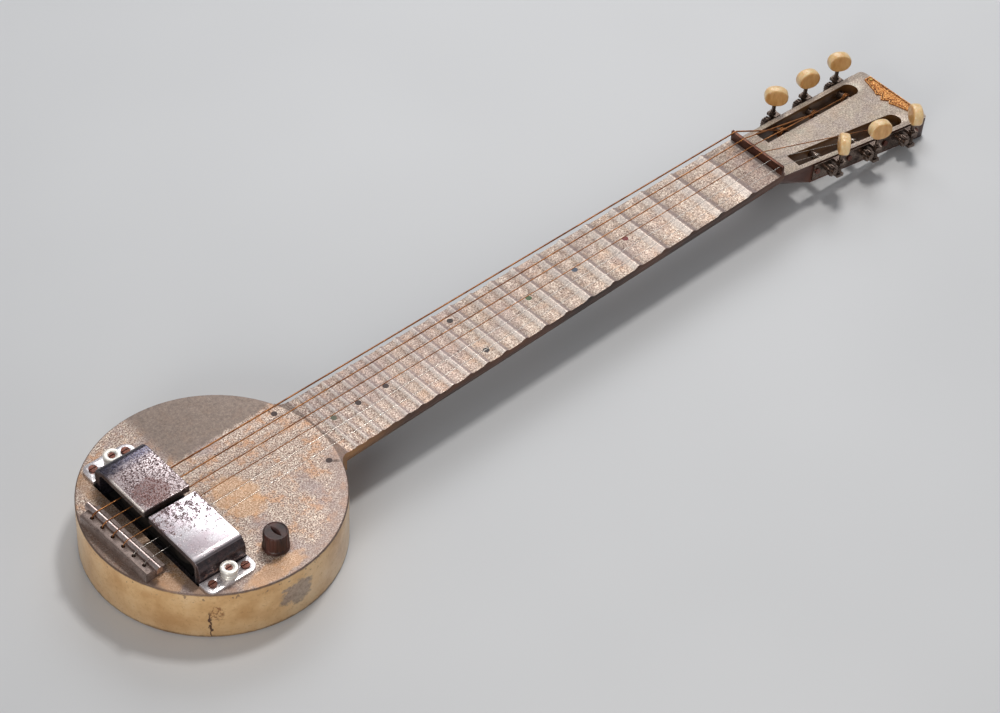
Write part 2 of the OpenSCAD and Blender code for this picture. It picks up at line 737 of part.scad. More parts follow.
module head_badge() color([0.8, 0.55, 0.3]) in_head() difference() {
    translate([head_len, 0, 0]) linear_extrude(badge_t) badge_outline();
    badge_pin_places() post(0.8, -1, 3);
}

module badge_pins() color([0.75, 0.5, 0.3]) in_head() badge_pin_places() {
    post(0.8, -3.8, badge_t);
    post(1.4, badge_t, badge_t + 0.5);
}

// ---- Tuners ----

// Runs its children at the worm's place for string i
module at_worm(i) in_side(side_of(i))
    translate([post_s(i) + worm_offset, side_of(i) * worm_y, -post_depth]) children();

module at_post(i) in_side(side_of(i)) translate([post_s(i), 0, -post_depth]) children();

ear_inner = worm_len / 2 + ear_gap;

module tuner_plate(side) color([0.55, 0.5, 0.45]) difference() {
    union() {
        in_side(side) translate([post_first - 14, side > 0 ? side_y : -side_y - plate_t, -head_t + 2.4])
            cube([2 * post_pitch + 34, plate_t, head_t - 3.6]);
        for (i = side > 0 ? [4:6] : [1:3], up = [-1, 1]) in_side(side)
            translate([post_s(i) + worm_offset - 3, side > 0 ? side_y + plate_t : -worm_y - 3,
                       -post_depth + (up > 0 ? ear_inner : -ear_inner - ear_t)])
                cube([6, worm_y + 3 - side_y - plate_t, ear_t]);
    }
    for (i = side > 0 ? [4:6] : [1:3]) {
        at_worm(i) post(worm_shaft_r + running_gap, -12, 12);
        at_post(i) cross_pin(side, side_y - 1, plate_t + 1.5, post_r + 0.3);
    }
    in_side(side) for (s = plate_screw_s) translate([s, 0, -post_depth])
        cross_pin(side, side_y - 1, plate_t + 2, plate_screw_r);
}

module tuner_plate_bass() tuner_plate(1);
module tuner_plate_treble() tuner_plate(-1);

module tuner_plate_screws() color([0.6, 0.55, 0.5]) for (side = [-1, 1], s = plate_screw_s) in_side(side)
    translate([s, 0, -post_depth]) {
        cross_pin(side, side_y - 2.8, 2.8 + plate_t, plate_screw_r);
        cross_pin(side, side_y + plate_t, 1.2, 2.2);
    }

// A single-start worm: an off-centre disc twisted along the shaft
module worm_shaft(i) color([0.5, 0.45, 0.4]) at_worm(i) {
    translate([0, 0, -worm_len / 2])
        linear_extrude(worm_len, twist = -360 * worm_turns, slices = 10 * worm_turns, $fn = 12)
            translate([worm_throw, 0]) circle(worm_mean_r);
    post(1.2, -worm_len / 2 - 0.5, worm_len / 2 + 0.5);
    post(worm_shaft_r, worm_len / 2, button_rise + post_depth + 4);
    post(worm_shaft_r, -ear_inner - ear_t - 0.6, -worm_len / 2);
    post(2.4, ear_inner + ear_t + 0.1, ear_inner + ear_t + 1.3);
}

// An oval button with bevelled rims, whose faces stand upright
module button(i) color([0.88, 0.68, 0.42]) at_worm(i) difference() {
    translate([0, 0, button_rise + post_depth]) rotate([90, 0, button_turns[i - 1]]) hull()
        for (sx = [-1, 1]) translate([sx * (button_size.x - button_size.y) / 2, 0, 0]) {
            cylinder(r = button_size.y / 2, h = button_size.z * 0.62, center = true, $fn = 32);
            cylinder(r = button_size.y / 2 - 1.4, h = button_size.z, center = true, $fn = 32);
        }
    post(worm_shaft_r, 0, button_rise + post_depth + 4);
}

module gear_outline() {
    tooth = [[-0.65, 3.8], [-0.2, 4.6], [0.2, 4.6], [0.65, 3.8]];
    polygon([for (k = [0:gear_teeth - 1], p = tooth)
        let (a = 360 * k / gear_teeth)
        [p.y * cos(a) - p.x * sin(a), p.y * sin(a) + p.x * cos(a)]]);
}

// A post with its worm gear on the outer end and a cross hole for the string
module string_post(i) color([0.6, 0.55, 0.5]) at_post(i) {
    side = side_of(i);
    difference() {
        cross_pin(side, slot_y - slot_w / 2 - 4.5, worm_y - slot_y + slot_w / 2 + 4.5, post_r);
        translate([0, side * (slot_y + 5), 0]) post(0.9, -post_r - 1, post_r + 1);
    }
    translate([0, side * worm_y, 0]) rotate([90, 0, 0]) translate([0, 0, -gear_t / 2])
        linear_extrude(gear_t) gear_outline();
    cross_pin(side, worm_y, gear_t / 2 + 1.4, 2.3);
}

body_casting();
back_cover();
back_cover_screws();
bridge_block();
bridge_screws();
saddle_bar();
nut();
guitar_string(1);  // string_1
guitar_string(2);  // string_2
guitar_string(3);  // string_3
guitar_string(4);  // string_4
guitar_string(5);  // string_5
guitar_string(6);  // string_6
string_ball_ends();
magnet_treble();
magnet_bass();
pickup_carrier();
pickup_studs();
coil_bobbin();
coil_winding();
pole_pieces();
coil_lead();
pickup_brackets();
bracket_screws();
thumb_nut_treble();
thumb_nut_bass();
knob();
knob_set_screw();
pot_shaft();
pot_body();
pot_nut();
capacitor();
output_jack();
jack_nut();
lead_wires();
position_dots();
head_badge();
badge_pins();
tuner_plate_bass();
tuner_plate_treble();
tuner_plate_screws();
worm_shaft(1);  // worm_shaft_1
worm_shaft(2);  // worm_shaft_2
worm_shaft(3);  // worm_shaft_3
worm_shaft(4);  // worm_shaft_4
worm_shaft(5);  // worm_shaft_5
worm_shaft(6);  // worm_shaft_6
button(1);  // button_1
button(2);  // button_2
button(3);  // button_3
button(4);  // button_4
button(5);  // button_5
button(6);  // button_6
string_post(1);  // string_post_1
string_post(2);  // string_post_2
string_post(3);  // string_post_3
string_post(4);  // string_post_4
string_post(5);  // string_post_5
string_post(6);  // string_post_6
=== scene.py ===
import math

import bmesh
import bpy
from mathutils import Matrix, Vector


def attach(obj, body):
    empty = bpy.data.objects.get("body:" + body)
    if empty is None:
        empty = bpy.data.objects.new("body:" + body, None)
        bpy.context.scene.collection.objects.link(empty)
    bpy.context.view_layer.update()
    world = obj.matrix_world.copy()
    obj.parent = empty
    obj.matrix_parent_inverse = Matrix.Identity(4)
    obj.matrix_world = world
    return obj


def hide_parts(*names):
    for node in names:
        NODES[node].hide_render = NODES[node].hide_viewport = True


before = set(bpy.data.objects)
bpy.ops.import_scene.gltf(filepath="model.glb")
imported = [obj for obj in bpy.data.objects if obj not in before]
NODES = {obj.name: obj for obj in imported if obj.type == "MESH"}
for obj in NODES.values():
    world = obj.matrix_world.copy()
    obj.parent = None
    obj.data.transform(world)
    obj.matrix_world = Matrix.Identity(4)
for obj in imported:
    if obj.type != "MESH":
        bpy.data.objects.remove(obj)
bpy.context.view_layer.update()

MM = 0.001


# ---- Measures repeated from the CAD source, in millimetres and degrees ----

PAN_R, PAN_H = 88.9, 41.0
NUT_X, SCALE_LEN, NUT_T = 500.0, 571.5, 2.2
HEAD_AT = (506.0, 0.0, 36.0)
HEAD_TILT = 8.0
HEAD_LEN = 139.4
HEAD_W_NUT, HEAD_W_END = 50.4, 67.6
HEAD_WALL, SLOT_W = 3.7, 13.1
HEAD_FLARE = math.degrees(math.atan((HEAD_W_END - HEAD_W_NUT) / 2 / HEAD_LEN))
SIDE_Y = HEAD_W_NUT / 2 * math.cos(math.radians(HEAD_FLARE))
SLOT_Y = SIDE_Y - HEAD_WALL - SLOT_W / 2
WORM_Y = SIDE_Y + 6.2
POST_FIRST, POST_PITCH, POST_DEPTH, POST_R = 40.4, 35.9, 7.0, 3.0
WORM_OFFSET = 4.2 + 1.9 + 0.2
BUTTON_SIZE = (17.5, 14.5)
BUTTON_RISE = 14.0
BUTTON_TURNS = (50, -15, 60, -30, -20, -45)
STRING_D = (0.36, 0.46, 0.66, 0.8, 0.95, 1.15)
SPACING_NUT, SPACING_SADDLE = 9.4, 10.7
SADDLE_X, SADDLE_Z = NUT_X - SCALE_LEN, PAN_H + 11.0
NUT_Z = PAN_H + 5.8
ANCHOR_X = SADDLE_X - 5.2
PICKUP_X, PICKUP_SKEW, STUD_Y = -36.0, -2.0, 62.7
MAGNET_W, MAGNET_T, MAGNET_SPAN, MAGNET_RISE = 37.2, 5.5, 112.4, 18.3
MAGNET_GAP, MAGNET_SHIFT, MAGNET_BEND_R = 5.4, 1.7, 9.0
MAGNET_BOTTOM, MAGNET_TOP = PAN_H - 11.0, PAN_H + MAGNET_RISE
BRACKET_T, THUMB_NUT_H = 2.0, 8.0
KNOB_AT, KNOB_D, KNOB_H = (1.0, -63.5), 18.4, 15.0
KNOB_DISH, GROOVE_R, GROOVE_DEEP = 0.4, 8.0, 2.1
NECK_START_X = 90


# ---- Camera and light ----

def aim(obj, place, target):
    """Turns a lamp that stands at place towards target, both in metres."""
    obj.location = place
    obj.rotation_euler = (Vector(target) - Vector(place)).to_track_quat("-Z", "Y").to_euler()


def add_camera():
    """The camera solved from the fret spacing: its right, up and backward axes, then its place."""
    right = Vector((0.7407417, -0.67137978, 0.02347192))
    up = Vector((0.46325684, 0.53579634, 0.70591458))
    back = Vector((-0.48651294, -0.51202684, 0.70790796))
    data = bpy.data.cameras.new("camera")
    data.sensor_width = 36
    data.lens = 138.0
    data.clip_end = 20
    obj = bpy.data.objects.new("camera", data)
    bpy.context.scene.collection.objects.link(obj)
    turn = Matrix((right, up, back)).transposed().to_4x4()
    obj.matrix_world = Matrix.Translation((-1.02955, -1.35005, 1.86587)) @ turn
    bpy.context.scene.camera = obj


def add_lamp(name, place, target, size, power, colour=(1, 1, 1), size_y=None):
    data = bpy.data.lights.new(name, "AREA")
    data.energy = power
    data.color = colour
    data.size = size
    if size_y:
        data.shape = "RECTANGLE"
        data.size_y = size_y
    obj = bpy.data.objects.new(name, data)
    bpy.context.scene.collection.objects.link(obj)
    aim(obj, place, target)


add_camera()
MIDDLE = (0.25, 0.0, 0.03)
add_lamp("key", (1.15, 0.35, 2.2), MIDDLE, 0.35, 20, (1.0, 0.97, 0.93))
add_lamp("back_softbox", (1.55, 1.35, 1.45), MIDDLE, 1.5, 15, (0.97, 0.98, 1.0), 0.9)
add_lamp("front_left", (-1.7, -1.0, 0.9), MIDDLE, 0.9, 17, (1.0, 0.96, 0.9))
bpy.context.scene.view_settings.view_transform = "Standard"
world = bpy.data.worlds.new("studio")
world.use_nodes = True
world.node_tree.nodes["Background"].inputs["Color"].default_value = (0.75, 0.78, 0.82, 1)
world.node_tree.nodes["Background"].inputs["Strength"].default_value = 0.34
bpy.context.scene.world = world


# ---- Node materials ----

def srgb(r, g, b):
    """A display colour from 0 to 255 as the linear colour that a shader needs."""
    def linear(v):
        v /= 255
        return v / 12.92 if v <= 0.04045 else ((v + 0.055) / 1.055) ** 2.4
    return (linear(r), linear(g), linear(b), 1.0)


class Look:
    """One node material, built up a step at a time. Positions are object coordinates in metres."""

    def __init__(self, name, roughness=0.4, metallic=0.0, coat=0.0, ior=1.5):
        self.mat = bpy.data.materials.new(name)
        self.mat.use_nodes = True
        self.tree = self.mat.node_tree
        self.shader = self.tree.nodes["Principled BSDF"]
        self.shader.inputs["Roughness"].default_value = roughness
        self.shader.inputs["Metallic"].default_value = metallic
        self.shader.inputs["Coat Weight"].default_value = coat
        self.shader.inputs["IOR"].default_value = ior
        self.place = self.node("ShaderNodeTexCoord").outputs["Object"]
        self.parts = None

    def node(self, kind, **settings):
        made = self.tree.nodes.new(kind)
        for key, value in settings.items():
            setattr(made, key, value)
        return made

    def feed(self, socket, value):
        if isinstance(value, bpy.types.NodeSocket):
            self.tree.links.new(value, socket)
        elif value is not None:
            socket.default_value = value

    def xyz(self, axis):
        """The x, y or z of the position, in millimetres."""
        if self.parts is None:
            self.parts = self.node("ShaderNodeSeparateXYZ")
            self.feed(self.parts.inputs[0], self.place)
        return self.math("DIVIDE", self.parts.outputs["XYZ".index(axis)], MM)

    def math(self, operation, a, b=None, c=None, clamp=False):
        made = self.node("ShaderNodeMath", operation=operation, use_clamp=clamp)
        for socket, value in zip(made.inputs, (a, b, c)):
            self.feed(socket, value)
        return made.outputs[0]

    def moved(self, scale=(1, 1, 1), turn=(0, 0, 0)):
        """The position, turned and then stretched."""
        made = self.node("ShaderNodeMapping")
        self.feed(made.inputs["Vector"], self.place)
        made.inputs["Scale"].default_value = scale
        made.inputs["Rotation"].default_value = [math.radians(a) for a in turn]
        return made.outputs[0]

    def noise(self, size_mm, detail=2.0, rough=0.5, where=None, bend=0.0):
        """Cloudy noise whose blobs are about size_mm across."""
        made = self.node("ShaderNodeTexNoise")
        self.feed(made.inputs["Vector"], where or self.place)
        made.inputs["Scale"].default_value = 1 / (size_mm * MM)
        made.inputs["Detail"].default_value = detail
        made.inputs["Roughness"].default_value = rough
        made.inputs["Distortion"].default_value = bend
        return made.outputs[0]

    def cells(self, size_mm):
        """The distance to the nearest of scattered points about size_mm apart."""
        made = self.node("ShaderNodeTexVoronoi", feature="F1")
        self.feed(made.inputs["Vector"], self.place)
        made.inputs["Scale"].default_value = 1 / (size_mm * MM)
        return made.outputs["Distance"]

    def step(self, value, low, high):
        """0 below low, 1 above high and smooth between; low may be the larger."""
        made = self.node("ShaderNodeMapRange", interpolation_type="SMOOTHSTEP")
        self.feed(made.inputs["Value"], value)
        made.inputs["From Min"].default_value = low
        made.inputs["From Max"].default_value = high
        return made.outputs[0]

    def near(self, x, y, rx, ry, ragged=0.0, noise=None):
        """1 inside a soft spot around (x, y), in millimetres; ragged lets noise eat its edge."""
        dx = self.math("DIVIDE", self.math("SUBTRACT", self.xyz("X"), x), rx)
        dy = self.math("DIVIDE", self.math("SUBTRACT", self.xyz("Y"), y), ry)
        r2 = self.math("ADD", self.math("MULTIPLY", dx, dx), self.math("MULTIPLY", dy, dy))
        if noise is not None:
            r2 = self.math("ADD", r2, self.math("MULTIPLY", self.math("SUBTRACT", noise, 0.5), ragged))
        return self.step(r2, 1.15, 0.6)

    def ramp(self, value, *stops):
        """A colour by value; each stop is (position, colour)."""
        made = self.node("ShaderNodeValToRGB")
        self.feed(made.inputs["Fac"], value)
        row = made.color_ramp.elements
        while len(row) < len(stops):
            row.new(0.5)
        for element, (where, colour) in zip(row, stops):
            element.position = where
            element.color = colour
        return made.outputs["Color"]

    def mix(self, amount, a, b, blend="MIX"):
        made = self.node("ShaderNodeMix", data_type="RGBA", blend_type=blend)
        self.feed(made.inputs["Factor"], amount)
        self.feed(made.inputs["A"], a)
        self.feed(made.inputs["B"], b)
        return made.outputs["Result"]

    def times(self, a, b):
        return self.math("MULTIPLY", a, b)

    def colour(self, value):
        self.feed(self.shader.inputs["Base Color"], value)

    def rough(self, value, low, high):
        """Roughness between low and high by value, which runs from 0 to 1."""
        made = self.node("ShaderNodeMapRange")
        self.feed(made.inputs["Value"], value)
        made.inputs["To Min"].default_value = low
        made.inputs["To Max"].default_value = high
        self.feed(self.shader.inputs["Roughness"], made.outputs[0])

    def metal(self, value):
        self.feed(self.shader.inputs["Metallic"], value)

    def bump(self, *layers):
        """Bump from (height, depth in mm, strength) layers, one on top of another."""
        below = None
        for height, depth, strength in layers:
            made = self.node("ShaderNodeBump")
            self.feed(made.inputs["Height"], height)
            made.inputs["Distance"].default_value = depth * MM
            made.inputs["Strength"].default_value = strength
            if below is not None:
                self.feed(made.inputs["Normal"], below)
            below = made.outputs[0]
        self.feed(self.shader.inputs["Normal"], below)


def casting_base(look, contrast=1.0):
    """The mottled, worn bare casting: its colour, and the grain and specks for its finish."""
    grain = look.noise(1.05, 3, 0.8)
    blotch = look.noise(9, 4, 0.65)
    cloud = look.noise(30, 3, 0.55)
    speck = look.noise(0.9, 1, 0.5)
    colour = look.ramp(grain, (0.40, srgb(92, 66, 58)), (0.49, srgb(200, 168, 150)),
                       (0.57, srgb(255, 244, 228)))
    mottle = look.step(look.noise(3.2, 4, 0.7), 0.42, 0.56)
    colour = look.mix(look.times(look.math("SUBTRACT", 1.0, mottle), 0.38), colour, srgb(144, 112, 100))
    rust = look.step(look.math("ADD", look.times(blotch, 0.7), look.times(grain, 0.3)), 0.50, 0.62)
    colour = look.mix(look.times(rust, 0.55 * contrast), colour, srgb(214, 152, 98))
    lilac = look.step(cloud, 0.5, 0.66)
    colour = look.mix(look.times(lilac, 0.5 * contrast), colour, srgb(158, 142, 144))
    dark = look.step(speck, 0.61, 0.68)
    colour = look.mix(look.times(dark, 0.7), colour, srgb(84, 56, 46))
    return colour, grain, speck


def casting_finish(look, colour, grain, speck, metal=0.35, low=0.34, high=0.62):
    look.colour(colour)
    look.rough(grain, high, low)
    look.metal(metal)
    pinholes = look.step(speck, 0.6, 0.72)
    look.bump((look.noise(14, 3, 0.5), 0.35, 0.35), (grain, 0.12, 0.5), (pinholes, -0.1, 0.5))


def pan_top_look():
    look = Look("casting_pan_top")
    colour, grain, speck = casting_base(look)
    x, y = look.xyz("X"), look.xyz("Y")
    ragged = look.noise(6, 3)
    radius = look.math("POWER", look.math("ADD", look.times(x, x), look.times(y, y)), 0.5)
    # The bass quarter beside the strings is painted a smoother, darker grey-brown
    edge = look.math("ADD", y, look.times(look.math("SUBTRACT", ragged, 0.5), 9))
    quarter = look.times(look.step(edge, 34.5, 38.5), look.step(x, -9, 3))
    smooth = look.ramp(look.noise(2.2, 4, 0.6), (0.3, srgb(118, 103, 94)), (0.7, srgb(150, 132, 120)))
    colour = look.mix(look.times(quarter, 0.93), colour, smooth)
    # A grey-lilac band follows the rim on the treble side
    rim = look.math("ADD", radius, look.times(look.math("SUBTRACT", ragged, 0.5), 22))
    band = look.times(look.step(rim, 74, 82), look.step(y, -10, -30))
    colour = look.mix(look.times(band, 0.6), colour, srgb(158, 138, 132))
    # Warm, golden wear where the hand rests and between the magnets and the knob
    for spot in ((-71, -43, 11, 10), (10, -14, 16, 22), (-12, -79, 26, 8)):
        colour = look.mix(look.times(look.near(*spot, 1.4, ragged), 0.42), colour, srgb(232, 176, 118))
    # Painted shadow: grey-brown behind the bridge block, and golden-brown between the bridge and the magnets
    bridge_shadow_behind = look.step(x, -74, -78)
    colour = look.mix(look.times(bridge_shadow_behind, 0.75), colour, srgb(132, 110, 100))
    # Painted shadow: a golden-brown strip on the top between the bridge and the pickup
    between = look.times(look.step(x, -66, -62), look.step(x, -50, -56))
    colour = look.mix(look.times(between, 0.45), colour, srgb(170, 128, 84))
    colour = look.mix(look.times(look.step(radius, 87.6, 88.5), 0.7), colour, srgb(92, 72, 62))
    casting_finish(look, colour, grain, speck)
    return look.mat


def neck_top_look():
    look = Look("casting_neck_top")
    colour, grain, speck = casting_base(look, 0.6)
    x = look.xyz("X")
    beyond_pan = look.step(x, 84, 150)
    pale = look.mix(look.step(look.noise(60, 2), 0.4, 0.6), srgb(226, 208, 190), srgb(232, 206, 196))
    colour = look.mix(look.times(beyond_pan, 0.24), colour, pale)
    dark = look.step(look.noise(0.6, 1), 0.59, 0.65)
    colour = look.mix(look.times(dark, 0.6), colour, srgb(84, 60, 50))
    # Each fret, placed by equal temperament, has a painted highlight on the bridge side and a dull grey
    # painted shade on the nut side
    part = look.math("DIVIDE", look.math("SUBTRACT", x, NUT_X - SCALE_LEN), SCALE_LEN)
    number = look.times(look.math("LOGARITHM", part, 2.0), -12.0)
    off = look.math("SUBTRACT", look.math("FRACT", look.math("ADD", number, 0.5)), 0.5)
    bright = look.times(look.step(off, -0.03, 0.02), look.step(off, 0.24, 0.10))
    colour = look.mix(look.times(bright, 0.42), colour, srgb(250, 242, 236))
    dull = look.times(look.step(off, -0.20, -0.13), look.step(off, 0.0, -0.04))
    dulled = look.math("ADD", look.times(beyond_pan, 0.2), 0.45)
    colour = look.mix(look.times(dull, dulled), colour, srgb(150, 132, 132))
    # Pitted and chipped places in the valleys
    pits = look.step(look.noise(1.6, 3, 0.75), 0.53, 0.60)
    pitted = (
        (302, -13, 4, 9), (480, -10, 4, 7), (348, -15, 3, 5),
        (205, -10, 4, 7), (150, -13, 4, 8), (255, -20, 3, 4),
    )
    for spot in pitted:
        mark = look.times(look.near(*spot, 1.8, look.noise(3, 3)), pits)
        colour = look.mix(look.times(mark, 0.85), colour, srgb(82, 44, 32))
    casting_finish(look, colour, grain, speck)
    return look.mat


def head_face_look():
    look = Look("casting_head_face")
    colour, grain, speck = casting_base(look, 0.35)
    pale = look.ramp(look.noise(16, 4, 0.6), (0.35, srgb(176, 166, 160)), (0.55, srgb(196, 184, 166)),
                     (0.7, srgb(186, 190, 172)))
    colour = look.mix(0.5, colour, pale)
    casting_finish(look, colour, grain, speck, 0.4, 0.30, 0.5)
    return look.mat


def pan_side_look():
    """Gold-tan lacquer with a few stains, worn through to grey metal in one place, and a painted contact
    shadow along the bottom.
    """
    look = Look("lacquer_pan_side", 0.36, 0.15, coat=0.25)
    x, y, z = look.xyz("X"), look.xyz("Y"), look.xyz("Z")
    angle = look.math("DEGREES", look.math("ARCTAN2", y, x))
    cloud = look.noise(26, 4, 0.6)
    fine = look.noise(2.0, 4, 0.65)
    ragged = look.math("SUBTRACT", look.noise(5, 4, 0.6), 0.5)
    colour = look.ramp(cloud, (0.32, srgb(206, 158, 102)), (0.5, srgb(228, 186, 132)),
                       (0.7, srgb(238, 204, 158)))
    colour = look.mix(look.times(look.step(fine, 0.56, 0.66), 0.3), colour, srgb(168, 118, 68))

    def side_spot(middle, height, half_angle, half_height):
        da = look.math("DIVIDE", look.math("SUBTRACT", angle, middle), half_angle)
        dz = look.math("DIVIDE", look.math("SUBTRACT", z, height), half_height)
        r2 = look.math("ADD", look.times(da, da), look.times(dz, dz))
        return look.step(look.math("ADD", r2, look.times(ragged, 2.4)), 1.1, 0.5)

    worn = side_spot(-92, 22, 9, 11)
    grey = look.ramp(fine, (0.35, srgb(116, 98, 88)), (0.6, srgb(168, 148, 134)))
    colour = look.mix(look.times(worn, 0.85), colour, grey)
    stain = look.times(side_spot(-127.5, 23, 3.4, 7), look.step(fine, 0.44, 0.54))
    colour = look.mix(look.times(stain, 0.75), colour, srgb(138, 84, 40))
    crack_at = look.math("ADD", -130.2, look.times(ragged, 4.5))
    from_crack = look.math("ABSOLUTE", look.math("SUBTRACT", angle, crack_at))
    crack = look.times(look.step(from_crack, 0.55, 0.2), look.step(z, 26, 20))
    colour = look.mix(crack, colour, srgb(84, 48, 26))
    # Painted contact shadow: darker brown along the bottom of the side, where it meets the floor
    low = look.step(look.math("ADD", z, look.times(ragged, 3.5)), 3.2, 0.8)
    colour = look.mix(look.times(low, 0.8), colour, srgb(96, 62, 34))
    top = look.step(look.math("ADD", z, look.times(ragged, 2.2)), 39.0, 40.3)
    colour = look.mix(look.times(top, 0.75), colour, srgb(110, 82, 62))
    chip = look.times(look.step(look.noise(3.2, 2), 0.64, 0.68), look.step(z, 30, 37))
    colour = look.mix(look.times(chip, 0.7), colour, srgb(122, 92, 72))
    look.colour(colour)
    look.rough(fine, 0.28, 0.5)
    look.bump((cloud, 0.3, 0.25), (fine, 0.06, 0.4), (look.math("ADD", worn, crack), -0.15, 0.6))
    return look.mat


def brown_side_look(name, dark, light, gold_until=None):
    """Brown side lacquer, gold up to the place gold_until along the neck. On the neck side the brown is
    painted shade: the same gold-tan lacquer as the pan side, darkened as it looks in shade.
    """
    look = Look(name, 0.34, 0.1, coat=0.1)
    cloud = look.noise(20, 4, 0.6, look.moved((0.35, 1, 1)))
    fine = look.noise(1.6, 3, 0.6)
    colour = look.ramp(cloud, (0.35, dark), (0.68, light))
    colour = look.mix(look.times(look.step(fine, 0.58, 0.68), 0.35), colour, srgb(40, 24, 16))
    if gold_until:
        gold_near_pan = look.step(look.math("ADD", look.xyz("X"), look.times(look.math("SUBTRACT", cloud, 0.5), 90)),
                         gold_until + 25, gold_until - 25)
        colour = look.mix(look.times(gold_near_pan, 0.8), colour, srgb(176, 126, 74))
    look.colour(colour)
    look.rough(fine, 0.3, 0.5)
    look.bump((cloud, 0.25, 0.3), (fine, 0.05, 0.4))
    return look.mat


def metal_look(name, pale, deep, roughness, spots=None, amount=0.5, metallic=1.0, brushed=None):
    """Worn bare metal: two tones, fine scratches and, if asked, rust or dirt spots."""
    look = Look(name, roughness, metallic)
    broad = look.noise(7, 4, 0.6)
    fine = look.noise(0.8, 3, 0.65, look.moved(brushed) if brushed else None)
    tone = look.math("ADD", look.times(broad, 0.6), look.times(fine, 0.4))
    colour = look.ramp(tone, (0.36, deep), (0.62, pale))
    if spots:
        level = look.math("ADD", look.times(look.noise(1.3, 4, 0.7), 0.6), look.times(broad, 0.4))
        patch = look.step(level, 0.60 - 0.12 * amount, 0.66 - 0.08 * amount)
        colour = look.mix(look.times(patch, 0.85), colour, spots)
        look.metal(look.mix(patch, (metallic,) * 3 + (1,), (metallic * 0.3,) * 3 + (1,)))
    look.colour(colour)
    look.rough(fine, max(0.04, roughness - 0.08), roughness + 0.12)
    look.bump((broad, 0.1, 0.2), (fine, 0.03, 0.35))
    return look.mat


def magnet_look(name, treble):
    """Bright plating with rust pits that crowd towards the middle gap, or thick with rust speckle; the side
    faces and outer bend carry painted shade and the edges painted highlights.
    """
    look = Look(name, 0.2, 1.0)
    x, z = look.xyz("X"), look.xyz("Z")
    turn = math.radians(PICKUP_SKEW)
    off = look.math("SUBTRACT", x, PICKUP_X)
    along = look.math("ADD", look.times(off, math.cos(turn)), look.times(look.xyz("Y"), math.sin(turn)))
    out = look.math("ADD", look.times(off, -math.sin(turn)), look.times(look.xyz("Y"), math.cos(turn)))
    pit = look.noise(1.3, 4, 0.75)
    big = look.noise(5, 3, 0.6)
    painted_flank_shade = look.step(z, MAGNET_TOP - 0.6, MAGNET_TOP - 1.4)
    if treble:
        plate = look.ramp(look.noise(12, 2), (0.4, srgb(232, 216, 222)), (0.6, srgb(246, 238, 242)))
        crowd = look.step(out, -46, -4)
        level = look.math("ADD", look.times(pit, 0.66), look.times(big, 0.34))
        rust = look.step(look.math("ADD", level, look.times(crowd, 0.075)), 0.565, 0.60)
        large = look.times(look.step(look.noise(3.6, 4, 0.75), 0.545, 0.58), look.step(out, -26, -9))
        large = look.times(large, look.times(look.step(along, -17, -12), look.step(along, 15, 9)))
        rust = look.math("MAXIMUM", rust, large)
        rusted = look.ramp(pit, (0.5, srgb(66, 34, 36)), (0.7, srgb(120, 80, 72)))
        colour = look.mix(look.times(rust, 0.9), plate, rusted)
        # Past the shoulder of the outer bend the plating is painted dark as shade
        bend = look.step(out, -53.9, -54.7)
        shade = look.ramp(look.noise(2.4, 4, 0.65), (0.4, srgb(34, 24, 28)), (0.66, srgb(84, 60, 58)))
        colour = look.mix(look.times(bend, 0.94), colour, shade)
        # Painted highlight: a pale glint low down on the dark outer bend
        low_glint = look.times(look.step(z, 44.2, 45.2), look.step(z, 47.2, 46.2))
        glint = look.times(look.times(low_glint, bend), look.step(look.noise(2.0, 3, 0.7), 0.46, 0.56))
        colour = look.mix(look.times(glint, 0.55), colour, srgb(206, 168, 150))
    else:
        grain = look.noise(0.95, 3, 0.75)
        base = look.ramp(grain, (0.42, srgb(56, 32, 32)), (0.50, srgb(124, 98, 98)),
                         (0.57, srgb(236, 222, 222)))
        brown = look.near(-40, 12, 13, 13, 1.8, big)
        base = look.mix(look.times(brown, 0.55), base, srgb(96, 46, 36))
        # Painted highlight: a pale line along the bevel of the magnet's -X edge
        rim = look.times(look.step(along, -16.9, -17.9), look.step(out, 40, 32))
        base = look.mix(look.times(rim, 0.8), base, srgb(255, 244, 236))
        level = look.math("ADD", out, look.times(look.math("SUBTRACT", big, 0.5), 9))
        far = look.step(level, 35, 45)
        deep = look.ramp(look.noise(1.6, 3, 0.6), (0.4, srgb(40, 38, 52)), (0.66, srgb(92, 92, 112)))
        colour = look.mix(look.times(far, 0.86), base, deep)
        # Painted shade: the outer bend darkened
        colour = look.mix(look.times(look.step(out, 46, 52), 0.75), colour, srgb(40, 26, 32))
        pitted = look.math("SUBTRACT", 1.0, look.step(grain, 0.42, 0.55))
        rust = look.times(pitted, look.math("SUBTRACT", 1.0, far))
        bend = look.step(out, 44, 50)
    # Painted shade: the side faces below the top are darkened, less so past the outer bend
    shaded = look.times(look.math("SUBTRACT", 1.0, bend), 0.8)
    colour = look.mix(look.times(painted_flank_shade, shaded), colour, srgb(52, 38, 38))
    look.colour(colour)
    look.rough(rust, 0.24, 0.6)
    look.metal(look.math("SUBTRACT", 0.72, look.times(rust, 0.5)))
    look.bump((rust, -0.08, 0.45), (look.noise(0.8, 2), 0.015, 0.25))
    return look.mat


def plastic_look(name, pale, deep, roughness=0.3, streak=None, coat=0.3):
    look = Look(name, roughness, 0.0, coat)
    cloud = look.noise(6, 3, 0.55, look.moved(streak) if streak else None)
    fine = look.noise(0.9, 2)
    look.colour(look.ramp(cloud, (0.35, deep), (0.65, pale)))
    look.rough(fine, roughness - 0.08, roughness + 0.12)
    look.bump((cloud, 0.1, 0.2), (fine, 0.02, 0.3))
    return look.mat


